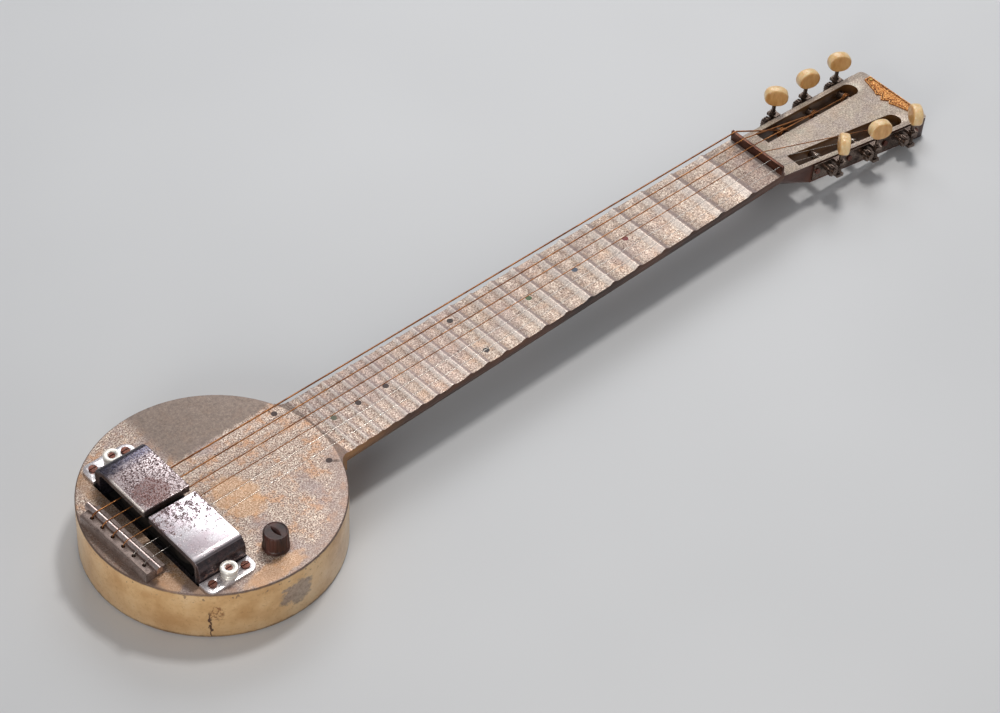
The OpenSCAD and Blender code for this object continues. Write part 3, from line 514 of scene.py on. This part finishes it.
def wound_look():
    """Bronze winding wire: fine rings along the string, tarnished in places."""
    look = Look("string_bronze_wound", 0.35, 1.0)
    rings = look.node("ShaderNodeTexWave", wave_type="BANDS", bands_direction="X", wave_profile="SIN")
    look.feed(rings.inputs["Vector"], look.place)
    rings.inputs["Scale"].default_value = 1 / (0.45 * MM * math.pi)
    tarnish = look.noise(11, 3, 0.6)
    colour = look.ramp(tarnish, (0.38, srgb(122, 70, 40)), (0.62, srgb(196, 130, 76)))
    look.colour(look.mix(look.times(rings.outputs["Fac"], 0.25), colour, srgb(224, 174, 124)))
    look.rough(tarnish, 0.5, 0.28)
    look.bump((rings.outputs["Fac"], 0.08, 0.6))
    return look.mat


def button_look():
    """Aged ivory-coloured celluloid with faint grain; the darker amber faces are painted shade and the paler
    rim a painted highlight.
    """
    look = Look("button_ivoroid", 0.3, 0.0, coat=0.25)
    lit_rim_shaded_face = look.node("ShaderNodeAttribute", attribute_name="face_depth").outputs["Fac"]
    cloud = look.noise(4, 4, 0.6, look.moved((1, 1, 0.35)))
    # Painted shade on the amber faces and a painted highlight on the paler rim
    face = look.ramp(cloud, (0.36, srgb(208, 150, 86)), (0.62, srgb(232, 182, 118)))
    rim = look.ramp(cloud, (0.36, srgb(230, 186, 126)), (0.62, srgb(246, 214, 164)))
    look.colour(look.mix(look.step(lit_rim_shaded_face, 0.05, 0.22), face, rim))
    look.shader.inputs["Subsurface Weight"].default_value = 0.12
    look.shader.inputs["Subsurface Scale"].default_value = 0.002
    look.rough(cloud, 0.24, 0.4)
    look.bump((cloud, 0.08, 0.25), (look.noise(0.7, 2), 0.015, 0.3))
    return look.mat


def dot_look():
    """Inlaid dots, each with the colour of its own place along the neck."""
    look = Look("dot_inlay", 0.5)
    x = look.xyz("X")
    row = (
        (88, srgb(58, 30, 24)), (114, srgb(92, 96, 74)), (185, srgb(54, 28, 24)), (250, srgb(40, 28, 24)),
        (300, srgb(70, 98, 54)), (345, srgb(70, 84, 104)), (NUT_X, srgb(128, 30, 30)),
    )
    colour = row[0][1]
    for before, (_, shade) in zip(row, row[1:]):
        colour = look.mix(look.step(x, before[0] - 1, before[0] + 1), colour, shade)
    chips = look.step(look.noise(0.9, 3, 0.7), 0.56, 0.62)
    look.colour(look.mix(look.times(chips, 0.5), colour, srgb(120, 96, 82)))
    look.rough(chips, 0.45, 0.7)
    look.bump((chips, -0.08, 0.6))
    return look.mat


def badge_look():
    look = Look("badge_gilt", 0.38, 0.9)
    deep = look.node("ShaderNodeAttribute", attribute_name="sunk").outputs["Fac"]
    pebble = look.cells(1.1)
    gold = look.ramp(pebble, (0.1, srgb(248, 196, 128)), (0.55, srgb(206, 138, 76)), (0.8, srgb(130, 72, 40)))
    gold = look.mix(look.times(look.step(look.noise(0.8, 2), 0.56, 0.64), 0.4), gold, srgb(98, 54, 38))
    look.colour(look.mix(look.times(deep, 0.75), gold, srgb(66, 36, 24)))
    look.rough(pebble, 0.3, 0.6)
    look.bump((pebble, -0.25, 0.7))
    return look.mat


def floor_look():
    look = Look("floor_pale", 0.42)
    cloud = look.noise(300, 2)
    look.colour(look.ramp(cloud, (0.3, srgb(206, 207, 209)), (0.7, srgb(212, 213, 215))))
    return look.mat


LOOKS = {
    "pan_top": pan_top_look(), "neck_top": neck_top_look(), "head_face": head_face_look(),
    "pan_side": pan_side_look(),
    # Neck side: painted shade, the gold-tan side lacquer darkened to brown, with gold towards the pan
    "neck_side": brown_side_look("neck_side_lacquer_painted_shade", srgb(50, 26, 16), srgb(112, 66, 38), 120),
    "head_side": brown_side_look("lacquer_head_side", srgb(50, 24, 18), srgb(98, 54, 36)),
    "inside": metal_look("casting_inside", srgb(150, 138, 128), srgb(110, 98, 90), 0.55, metallic=0.5),
    "slots": brown_side_look("lacquer_slots", srgb(84, 54, 28), srgb(148, 104, 56)),
    "cover": metal_look("cover_sheet", srgb(176, 170, 162), srgb(140, 132, 124),
        0.38, srgb(120, 104, 90), 0.2, brushed=(0.1, 1, 1)),
    "bridge": metal_look("bridge_metal", srgb(158, 140, 132), srgb(104, 88, 82),
        0.42, srgb(80, 54, 46), 0.55, 0.5),
    "saddle": metal_look("saddle_metal", srgb(226, 210, 204), srgb(164, 138, 130),
        0.28, srgb(96, 62, 54), 0.35),
    "nut": metal_look("nut_metal", srgb(120, 84, 70), srgb(62, 40, 34), 0.4, srgb(50, 30, 26), 0.5),
    "string_plain": metal_look("string_plain_steel", srgb(224, 220, 214), srgb(170, 160, 150),
        0.25, srgb(130, 96, 70), 0.4),
    "string_wound": wound_look(),
    "brass": metal_look("brass_fittings", srgb(206, 168, 96), srgb(150, 112, 56),
        0.35, srgb(90, 64, 36), 0.3),
    "magnet_treble": magnet_look("magnet_bright", True), "magnet_bass": magnet_look("magnet_worn", False),
    "bracket": metal_look("bracket_chrome", srgb(252, 248, 250), srgb(214, 204, 206),
        0.24, srgb(96, 60, 54), 0.3, 0.65),
    "nickel": metal_look("nickel_bright", srgb(255, 252, 246), srgb(236, 228, 216),
        0.36, srgb(150, 124, 100), 0.1, 0.6),
    "screws": metal_look("screw_steel", srgb(150, 104, 90), srgb(84, 48, 42), 0.35, srgb(66, 34, 28), 0.8),
    "steel": metal_look("hidden_steel", srgb(180, 176, 172), srgb(130, 126, 122),
        0.35, srgb(110, 84, 66), 0.2),
    "fibre": plastic_look("black_fibre", srgb(34, 30, 28), srgb(18, 16, 15), 0.6, coat=0.0),
    "tape": plastic_look("coil_tape", srgb(50, 42, 36), srgb(28, 23, 20), 0.7, coat=0.0),
    "bakelite": plastic_look("knob_bakelite", srgb(84, 46, 38), srgb(36, 18, 15), 0.42, (1, 1, 0.3), 0.1),
    "wax": plastic_look("capacitor_wax", srgb(190, 158, 96), srgb(150, 116, 62), 0.5),
    "cloth": plastic_look("wire_cloth", srgb(66, 60, 52), srgb(30, 28, 25), 0.8, coat=0.0),
    "dots": dot_look(), "badge": badge_look(), "button": button_look(),
    "tuner": metal_look("tuner_nickel", srgb(150, 132, 120), srgb(70, 56, 50), 0.27, srgb(52, 34, 28), 0.8),
}


# ---- CAD nodes that stay: their materials and softened edges ----

def dress(node, look):
    for holder in NODES[node].material_slots:
        holder.material = LOOKS[look]


def soften(node, width, angle=30, segments=2):
    """Rounds the sharp edges of a CAD node with modifiers, which leave its own mesh alone."""
    obj = NODES[node]
    weld = obj.modifiers.new("weld", "WELD")
    weld.merge_threshold = 0.002 * MM
    flat = obj.modifiers.new("flat", "DECIMATE")
    flat.decimate_type = "DISSOLVE"
    flat.angle_limit = math.radians(0.4)
    edge = obj.modifiers.new("edge", "BEVEL")
    edge.limit_method = "ANGLE"
    edge.angle_limit = math.radians(angle)
    edge.width = width * MM
    edge.segments = segments
    edge.harden_normals = True
    for part in obj.data.polygons:
        part.use_smooth = True


KEPT = {
    "back_cover": "cover", "back_cover_screws": "screws", "bridge_block": "bridge", "bridge_screws": "steel",
    "saddle_bar": "saddle", "nut": "nut", "string_ball_ends": "brass", "pickup_carrier": "steel",
    "coil_bobbin": "fibre", "coil_winding": "tape", "pole_pieces": "steel", "pickup_brackets": "bracket",
    "knob_set_screw": "brass", "pot_shaft": "brass", "pot_body": "steel", "pot_nut": "brass",
    "capacitor": "wax", "output_jack": "steel", "jack_nut": "brass", "lead_wires": "cloth",
    "coil_lead": "cloth", "badge_pins": "brass",
    "tuner_plate_bass": "tuner", "tuner_plate_treble": "tuner", "tuner_plate_screws": "screws",
    "position_dots": "dots", "pickup_studs": "screws", "bracket_screws": "screws",
    **{f"worm_shaft_{i}": "tuner" for i in range(1, 7)}, **{f"string_post_{i}": "tuner" for i in range(1, 7)},
}
for kept, kept_look in KEPT.items():
    dress(kept, kept_look)


# ---- Helpers for new pieces ----

def finish_mesh(name, bm, looks, angle=30):
    """Makes an object from bm, in millimetres, with smooth faces that break at sharp edges."""
    bmesh.ops.recalc_face_normals(bm, faces=bm.faces)
    bmesh.ops.scale(bm, vec=(MM, MM, MM), verts=bm.verts)
    mesh = bpy.data.meshes.new(name)
    bm.to_mesh(mesh)
    bm.free()
    for face in mesh.polygons:
        face.use_smooth = True
    mesh.set_sharp_from_angle(angle=math.radians(angle))
    for key in looks:
        mesh.materials.append(LOOKS[key])
    obj = bpy.data.objects.new(name, mesh)
    bpy.context.scene.collection.objects.link(obj)
    return obj


def stand_for(piece, body, slot, *nodes):
    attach(piece, body)
    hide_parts(*nodes)


def lathe(bm, profile, steps, place, wave=None):
    """Turns a closed profile of (radius, height) points; wave may change a radius by angle and height."""
    rings = []
    for k in range(steps):
        angle = 2 * math.pi * k / steps
        ring = []
        for r, h in profile:
            r = wave(r, h, angle) if wave else r
            ring.append(bm.verts.new(place @ Vector((r * math.cos(angle), r * math.sin(angle), h))))
        rings.append(ring)
    for a, b in zip(rings, rings[1:] + rings[:1]):
        for j in range(len(profile)):
            k = (j + 1) % len(profile)
            bm.faces.new((a[j], a[k], b[k], b[j]))
    bmesh.ops.remove_doubles(bm, verts=bm.verts, dist=1e-4)


def tube(bm, points, radius, sides):
    """A round tube along points, which follow a smooth route, closed at both ends."""
    normal = None
    rings = []
    for i, p in enumerate(points):
        ahead = (points[min(i + 1, len(points) - 1)] - points[max(i - 1, 0)]).normalized()
        normal = ahead.orthogonal() if normal is None else normal - ahead * normal.dot(ahead)
        normal.normalize()
        other = ahead.cross(normal)
        rings.append([
            bm.verts.new(p + radius * (math.cos(a) * normal + math.sin(a) * other))
            for a in (2 * math.pi * k / sides for k in range(sides))
        ])
    for a, b in zip(rings, rings[1:]):
        for j in range(sides):
            bm.faces.new((a[j], a[(j + 1) % sides], b[(j + 1) % sides], b[j]))
    bm.faces.new(rings[0][::-1])
    bm.faces.new(rings[-1])


PICKUP = Matrix.Translation((PICKUP_X, 0, 0)) @ Matrix.Rotation(math.radians(PICKUP_SKEW), 4, "Z")
HEAD = Matrix.Translation(HEAD_AT) @ Matrix.Rotation(math.radians(HEAD_TILT), 4, "Y")


def side_frame(side):
    """The frame of one side of the head: x along it, y outwards for the bass side, z out of the face."""
    return HEAD @ Matrix.Rotation(math.radians(side * HEAD_FLARE), 4, "Z")


def side_of(i):
    return -1 if i <= 3 else 1


def post_s(i):
    return POST_FIRST + POST_PITCH * (i - 1 if i <= 3 else 6 - i)


# ---- Body casting ----

def body_region(centre, normal):
    """Which finish a face of the casting has, from its middle and normal in millimetres."""
    x, y, z = centre
    radius = math.hypot(x, y)
    local = HEAD.inverted() @ centre
    if x < NECK_START_X and radius < PAN_R - 3.8 and z < PAN_H - 3.8:
        return "inside"
    if x < NECK_START_X and radius < PAN_R - 4.1 and normal.z < 0.5 and z < PAN_H - 0.05:
        return "inside"
    if x > NUT_X + 1 and normal.z < 0.75 and local.z < -0.2 and 15 < local.x < 125:
        reach = abs((side_frame(1 if y > 0 else -1).inverted() @ centre).y)
        if abs(reach - SLOT_Y) < 6.75:
            return "slots"
    if normal.z > 0.45:
        if x > NUT_X + 1:
            return "head_face"
        return "neck_top" if x > 83.5 else "pan_top"
    if x > NUT_X - 2:
        return "head_side"
    if radius > PAN_R + 0.3 and x > 60:
        return "neck_side"
    return "pan_side"


BODY_LOOKS = ("pan_top", "neck_top", "head_face", "pan_side", "neck_side", "head_side", "inside", "slots")


def make_casting():
    bm = bmesh.new()
    bm.from_mesh(NODES["body_casting"].data)
    bmesh.ops.scale(bm, vec=(1 / MM, 1 / MM, 1 / MM), verts=bm.verts)
    bmesh.ops.remove_doubles(bm, verts=bm.verts, dist=0.002)
    bmesh.ops.dissolve_limit(bm, angle_limit=math.radians(0.4), verts=bm.verts, edges=bm.edges)

    def is_rim(edge):
        """Long enough sharp edges of the outer shape, not those of small holes."""
        if len(edge.link_faces) != 2 or edge.calc_face_angle() < math.radians(34):
            return False
        mid = (edge.verts[0].co + edge.verts[1].co) / 2
        if mid.x < NECK_START_X and math.hypot(mid.x, mid.y) < PAN_R - 1.5:
            return False
        return mid.z > 1.5

    rims = [edge for edge in bm.edges if is_rim(edge)]
    bmesh.ops.bevel(bm, geom=rims, offset=0.28, segments=2, profile=0.6, affect="EDGES", clamp_overlap=True)
    for face in bm.faces:
        face.material_index = BODY_LOOKS.index(body_region(face.calc_center_median(), face.normal))
    piece = finish_mesh("casting", bm, BODY_LOOKS, 35)
    stand_for(piece, "instrument", "cast_aluminium", "body_casting")


# ---- Strings ----

def string_path(i):
    """From the ball end, over the saddle and the nut, and round the post."""
    side = side_of(i)
    at_saddle, at_nut = (i - 3.5) * SPACING_SADDLE, (i - 3.5) * SPACING_NUT
    r = STRING_D[i - 1] / 2
    coil_r, pitch = POST_R + r + 0.3, 2 * r + 0.15
    frame_of_side = side_frame(side)
    leave = Vector((NUT_X + 0.6, at_nut, NUT_Z - 0.1))
    axis = frame_of_side @ Vector((post_s(i), side * SLOT_Y, -POST_DEPTH))
    run = math.hypot(axis.x - leave.x, axis.z - leave.z)
    lean = math.atan2(leave.z - axis.z, axis.x - leave.x) - math.radians(HEAD_TILT) - math.asin(coil_r / run)
    path = [Vector(p) for p in (
        (ANCHOR_X, at_saddle, PAN_H + 4.9), (ANCHOR_X, at_saddle, PAN_H + 8),
        (ANCHOR_X + 0.4, at_saddle, PAN_H + 9.2), (ANCHOR_X + 1.4, at_saddle, SADDLE_Z - 0.6),
        (ANCHOR_X + 2.8, at_saddle, SADDLE_Z), (SADDLE_X, at_saddle, SADDLE_Z),
        (NUT_X - NUT_T, at_nut, NUT_Z), tuple(leave),
    )]
    steps, turns = 32, 3
    for k in range(steps * turns + 1):
        a = lean + 2 * math.pi * k / steps
        path.append(frame_of_side @ Vector((
            post_s(i) + coil_r * math.sin(a),
            side * SLOT_Y + pitch * (k / steps - turns / 2),
            -POST_DEPTH + coil_r * math.cos(a),
        )))
    return path


def make_strings():
    for i in range(1, 7):
        bm = bmesh.new()
        tube(bm, string_path(i), STRING_D[i - 1] / 2, 12)
        piece = finish_mesh(f"string_{i}_wire", bm, ("string_plain" if i <= 2 else "string_wound",), 50)
        stand_for(piece, "instrument", "plain_steel_string" if i <= 2 else "wound_string", f"string_{i}")


# ---- Pickup ----

def arc(x, z, r, start, end, steps):
    return [
        (x + r * math.cos(math.radians(a)), z + r * math.sin(math.radians(a)))
        for a in (start + (end - start) * k / steps for k in range(steps + 1))
    ]


def make_magnet(name, side):
    """A bar bent to a horseshoe on its side, its edges rounded by wear."""
    tall, reach = MAGNET_TOP - MAGNET_BOTTOM, MAGNET_SPAN / 2
    end, t, r = MAGNET_GAP / 2, MAGNET_T, MAGNET_BEND_R
    outline = (
        [(end, 0)] + arc(reach - r, r, r, -90, 0, 12) + arc(reach - r, tall - r, r, 0, 90, 12)
        + [(end, tall), (end, tall - t)] + arc(reach - r, tall - r, r - t, 90, 0, 8)
        + arc(reach - r, r, r - t, 0, -90, 8) + [(end, t)]
    )
    bm = bmesh.new()
    ring = [
        bm.verts.new(PICKUP @ Vector((-MAGNET_W / 2, side * y - MAGNET_SHIFT, MAGNET_BOTTOM + z)))
        for y, z in outline
    ]
    face = bm.faces.new(ring)
    grown = bmesh.ops.extrude_face_region(bm, geom=[face])["geom"]
    along = PICKUP.to_3x3() @ Vector((MAGNET_W, 0, 0))
    bmesh.ops.translate(bm, vec=along, verts=[v for v in grown if isinstance(v, bmesh.types.BMVert)])
    bm.normal_update()
    sharp = [e for e in bm.edges if len(e.link_faces) == 2 and e.calc_face_angle() > math.radians(40)]
    bmesh.ops.bevel(bm, geom=sharp, offset=0.7, segments=3, profile=0.55, affect="EDGES", clamp_overlap=True)
    piece = finish_mesh(f"{name}_bar", bm, (name,), 40)
    stand_for(piece, "pickup", "bright_magnet" if side < 0 else "worn_magnet", name)


def make_thumb_nut(name, side):
    """A spool-shaped nut with a flat ring on top, whose edge is finely knurled."""
    stud_r, top = 2.55, THUMB_NUT_H
    place = PICKUP @ Matrix.Translation((0, side * STUD_Y - MAGNET_SHIFT, PAN_H + BRACKET_T + 0.05))
    profile = [
        (stud_r, 0), (5.0, 0), (5.3, 0.2), (5.4, 0.5), (5.4, 1.6), (5.2, 2.0), (4.5, 2.3), (4.3, 2.6),
        (4.25, 3.2), (4.35, top - 4.0), (4.8, top - 3.6), (5.5, top - 3.2), (5.9, top - 2.8),
        (6.0, top - 2.4), (6.0, top - 0.9), (5.93, top - 0.4), (5.75, top - 0.1), (5.5, top),
        (4.4, top), (3.4, top), (3.2, top - 0.08),
        (3.0, top - 0.3), (2.9, top - 0.8), (stud_r, top - 0.8),
    ]

    def knurl(r, _, angle):
        return r - 0.09 * (1 + math.cos(48 * angle)) / 2 if r > 5.95 else r

    bm = bmesh.new()
    lathe(bm, profile, 192, place, knurl)
    piece = finish_mesh(f"{name}_ring", bm, ("nickel",), 40)
    stand_for(piece, name, "thumb_nut_nickel", name)


def make_knob():
    """A fluted bakelite knob with a skirt, a dished top and a pointed groove across it."""
    r, floor = KNOB_D / 2, KNOB_H - KNOB_DISH
    outer = [
        (7.6, 0.6), (r - 0.4, 0.6), (r, 0.9), (r, 2.4), (r - 0.2, 2.9), (r - 0.5, 3.2), (r - 0.5, 4.2),
        (r - 0.55, 6.5), (r - 0.6, 9.0), (r - 0.65, 11.5), (r - 0.7, 13.4), (r - 0.85, 14.3),
        (r - 1.2, 14.85), (r - 1.6, KNOB_H),
        (r - 1.85, KNOB_H - 0.05), (r - 2.05, floor + 0.08),
    ]
    disc_r, rings = r - 2.3, 20
    outer += [(disc_r * (1 - k / rings) + 0.02, floor) for k in range(rings + 1)]
    inner = [(0.02, 11.9), (2.95, 11.9), (2.98, 5.6), (7.6, 5.6)]

    def flute(radius, h, angle):
        if 3.2 < h < 14.5 and radius > r - 1.2:
            return radius - 0.42 * max(0.0, math.cos(18 * angle)) ** 1.5
        return radius

    bm = bmesh.new()
    lathe(bm, outer + inner, 216, Matrix.Identity(4), flute)
    for v in bm.verts:
        wide = GROOVE_R - abs(v.co.x) / 0.85
        if v.co.z > floor - 0.1 and wide > abs(v.co.y):
            v.co.z = min(v.co.z, floor + GROOVE_R - GROOVE_DEEP - math.sqrt(wide ** 2 - v.co.y ** 2))
    bm.transform(Matrix.Translation((*KNOB_AT, PAN_H)))
    piece = finish_mesh("knob_fluted", bm, ("bakelite",), 40)
    stand_for(piece, "volume_knob", "knob_bakelite", "knob")


# ---- Head furniture ----

def button_profile():
    """Points of (distance in from the rim, height from the middle plane), in millimetres."""
    return [
        (0.0, 0.0), (0.02, 1.4), (0.12, 2.4), (0.4, 3.1), (0.9, 3.6), (1.5, 3.82), (2.4, 3.92), (3.6, 3.96),
        (4.8, 3.98), (6.2, 4.0),
    ]


def make_button(i):
    """A thick oval button with a rounded rim and slightly domed faces."""
    place = Matrix.Translation((post_s(i) + WORM_OFFSET, side_of(i) * WORM_Y, BUTTON_RISE))
    middle = side_frame(side_of(i)) @ place @ Matrix.Rotation(math.radians(BUTTON_TURNS[i - 1]), 4, "Z")
    half_w, half_h = BUTTON_SIZE[0] / 2, BUTTON_SIZE[1] / 2
    steps, power = 64, 2 / 2.25
    bm = bmesh.new()
    depth = bm.verts.layers.float.new("face_depth")
    rows = [(inset, -h) for inset, h in reversed(button_profile()[1:])] + button_profile()
    rings = []
    for inset, h in rows:
        ring = []
        for k in range(steps):
            a = 2 * math.pi * k / steps
            c, s = math.cos(a), math.sin(a)
            x = (half_w - inset) * math.copysign(abs(c) ** power, c)
            z = (half_h - inset) * math.copysign(abs(s) ** power, s)
            v = bm.verts.new(middle @ Vector((x, h, z)))
            v[depth] = 1 - min(1.0, abs(h) / 3.9)
            ring.append(v)
        rings.append(ring)
    for a, b in zip(rings, rings[1:]):
        for k in range(steps):
            bm.faces.new((a[k], a[(k + 1) % steps], b[(k + 1) % steps], b[k]))
    bm.faces.new(rings[0][::-1])
    bm.faces.new(rings[-1])
    piece = finish_mesh(f"button_{i}_oval", bm, ("button",), 45)
    stand_for(piece, f"tuner_button_{i}", "button_ivoroid", f"button_{i}")


def make_badge():
    """A plain stepped ornament with a raised border round a sunk line and a pebbled field."""
    half = [(-7.5, 24), (-11.5, 11), (-13.8, 6.5), (-11.2, 4.2)]
    outline = [(-0.8, -24.5), (-0.8, 24.5), *half, (-15.8, 0), *[(x, -y) for x, y in reversed(half)]]
    bm = bmesh.new()
    sunk = bm.verts.layers.float.new("sunk")
    ring = [bm.verts.new((HEAD_LEN + x, y, 0)) for x, y in outline]
    face = bm.faces.new(ring)
    bm.normal_update()
    if face.normal.z < 0:
        face.normal_flip()
    grown = bmesh.ops.extrude_face_region(bm, geom=[face])["geom"]
    bmesh.ops.translate(bm, vec=(0, 0, 1), verts=[v for v in grown if isinstance(v, bmesh.types.BMVert)])
    bm.normal_update()
    top = next(f for f in bm.faces if f.normal.z > 0.9 and f.calc_center_median().z > 0.9)
    for width, drop, is_sunk in ((0.9, 0.0, 0), (0.25, -0.35, 1), (0.5, 0.0, 1), (0.3, 0.2, 0)):
        bmesh.ops.inset_region(bm, faces=[top], thickness=width, depth=0, use_even_offset=True)
        for v in top.verts:
            v.co.z += drop
            v[sunk] = is_sunk
    bm.transform(HEAD)
    piece = finish_mesh("badge_plate", bm, ("badge",), 30)
    stand_for(piece, "instrument", "badge_brass", "head_badge")


# ---- Floor ----

def make_floor():
    bm = bmesh.new()
    bmesh.ops.create_grid(bm, x_segments=2, y_segments=2, size=6000)
    floor = finish_mesh("floor", bm, ())
    floor.data.materials.append(floor_look())


make_floor()
make_casting()
make_strings()
make_magnet("magnet_treble", -1)
make_magnet("magnet_bass", 1)
make_thumb_nut("thumb_nut_treble", -1)
make_thumb_nut("thumb_nut_bass", 1)
make_knob()
for number in range(1, 7):
    make_button(number)
make_badge()
for softened, softened_width in (("bridge_block", 0.25), ("nut", 0.2), ("pickup_brackets", 0.25)):
    soften(softened, softened_width)
